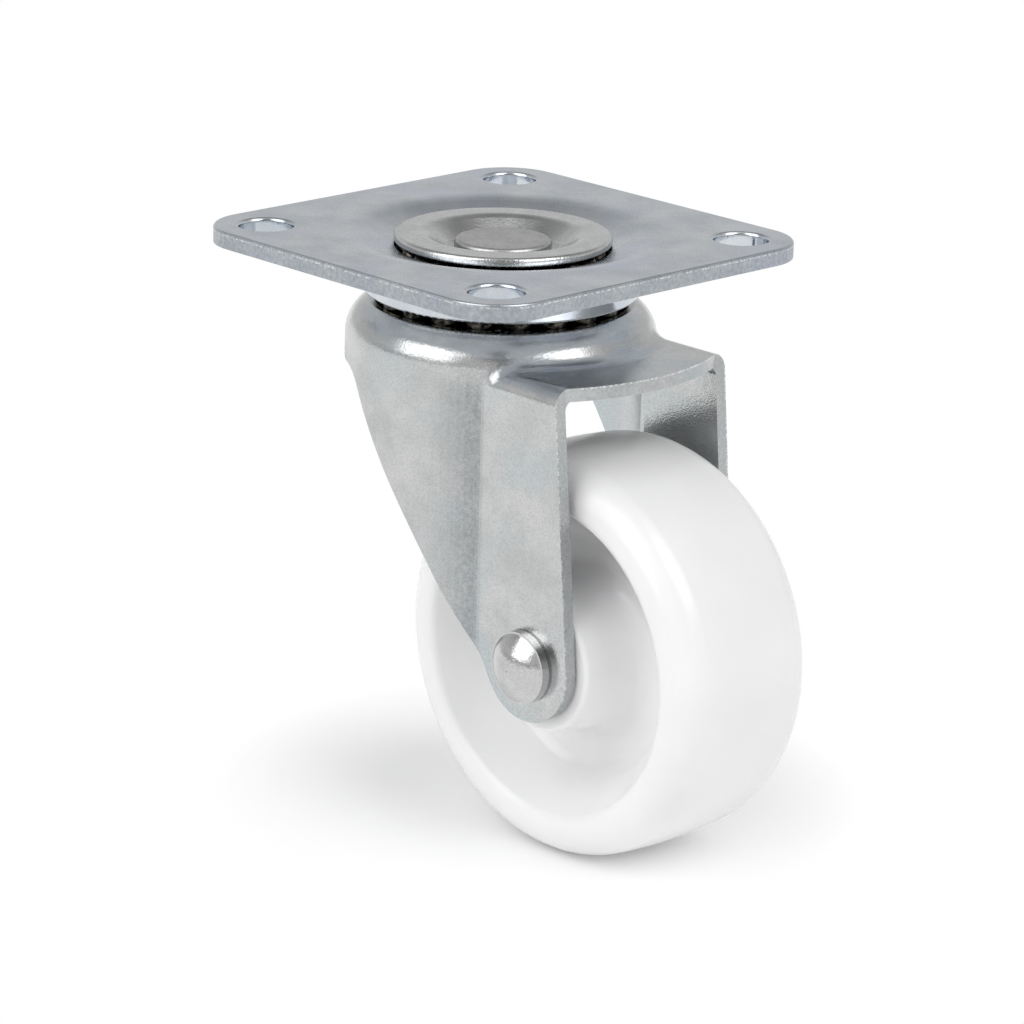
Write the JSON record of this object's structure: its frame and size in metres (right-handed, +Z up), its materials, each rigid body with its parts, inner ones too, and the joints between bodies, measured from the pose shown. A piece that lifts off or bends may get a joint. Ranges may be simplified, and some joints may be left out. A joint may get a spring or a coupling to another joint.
{
  "type": "swivel castor",
  "caption": "Swivel castor with a square bolt-on plate, a double ball race, a pressed steel fork and a white moulded wheel on a riveted axle.",
  "frame": {"origin": "where the swivel axis meets the plate's top face, which is the mounting face", "axes": "+Z up along the swivel axis, +X the way the axle trails, +Y along the axle away from its domed head"},
  "size_m": [0.0712, 0.053, 0.0708],
  "materials": {
    "plate_zinc": "satin",
    "fork_zinc": "satin",
    "cap_zinc": "satin",
    "kingpin_zinc": "satin",
    "axle_zinc": "bright",
    "sleeve_steel": "turned",
    "ball_steel": "polished",
    "wheel_plastic": "smooth moulded"
  },
  "bodies": {
    "plate": {"top_plate": "plate_zinc"},
    "fork": {"fork": "fork_zinc", "top_cap": "cap_zinc", "kingpin": "kingpin_zinc", "axle": "axle_zinc", "axle_sleeve": "sleeve_steel"},
    "wheel": {"wheel": "wheel_plastic"},
    "lower_balls": {"lower_ball_01": "ball_steel", "lower_ball_02": "ball_steel", "lower_ball_03": "ball_steel", "lower_ball_04": "ball_steel", "lower_ball_05": "ball_steel", "lower_ball_06": "ball_steel", "lower_ball_07": "ball_steel", "lower_ball_08": "ball_steel", "lower_ball_09": "ball_steel", "lower_ball_10": "ball_steel", "lower_ball_11": "ball_steel", "lower_ball_12": "ball_steel", "lower_ball_13": "ball_steel", "lower_ball_14": "ball_steel", "lower_ball_15": "ball_steel", "lower_ball_16": "ball_steel", "lower_ball_17": "ball_steel", "lower_ball_18": "ball_steel", "lower_ball_19": "ball_steel", "lower_ball_20": "ball_steel"},
    "upper_balls": {"upper_ball_01": "ball_steel", "upper_ball_02": "ball_steel", "upper_ball_03": "ball_steel", "upper_ball_04": "ball_steel", "upper_ball_05": "ball_steel", "upper_ball_06": "ball_steel", "upper_ball_07": "ball_steel", "upper_ball_08": "ball_steel", "upper_ball_09": "ball_steel", "upper_ball_10": "ball_steel", "upper_ball_11": "ball_steel", "upper_ball_12": "ball_steel", "upper_ball_13": "ball_steel", "upper_ball_14": "ball_steel", "upper_ball_15": "ball_steel", "upper_ball_16": "ball_steel", "upper_ball_17": "ball_steel", "upper_ball_18": "ball_steel", "upper_ball_19": "ball_steel", "upper_ball_20": "ball_steel", "upper_ball_21": "ball_steel", "upper_ball_22": "ball_steel"}
  },
  "joints": [
    {"name": "swivel", "type": "hinge", "parent": "plate", "child": "fork", "pos_m": [0, 0, 0], "axis": [0, 0, 1], "continuous": true},
    {"name": "wheel_spin", "type": "hinge", "parent": "fork", "child": "wheel", "pos_m": [0.02, 0, -0.04615], "axis": [0, 1, 0], "continuous": true},
    {"name": "lower_ball_orbit", "type": "hinge", "parent": "plate", "child": "lower_balls", "pos_m": [0, 0, 0], "axis": [0, 0, 1], "continuous": true},
    {"name": "upper_ball_orbit", "type": "hinge", "parent": "plate", "child": "upper_balls", "pos_m": [0, 0, 0], "axis": [0, 0, 1], "continuous": true}
  ],
  "couplings": [
    {"joint": "lower_ball_orbit", "follows": "swivel", "ratio": 0.5},
    {"joint": "upper_ball_orbit", "follows": "swivel", "ratio": 0.5}
  ]
}
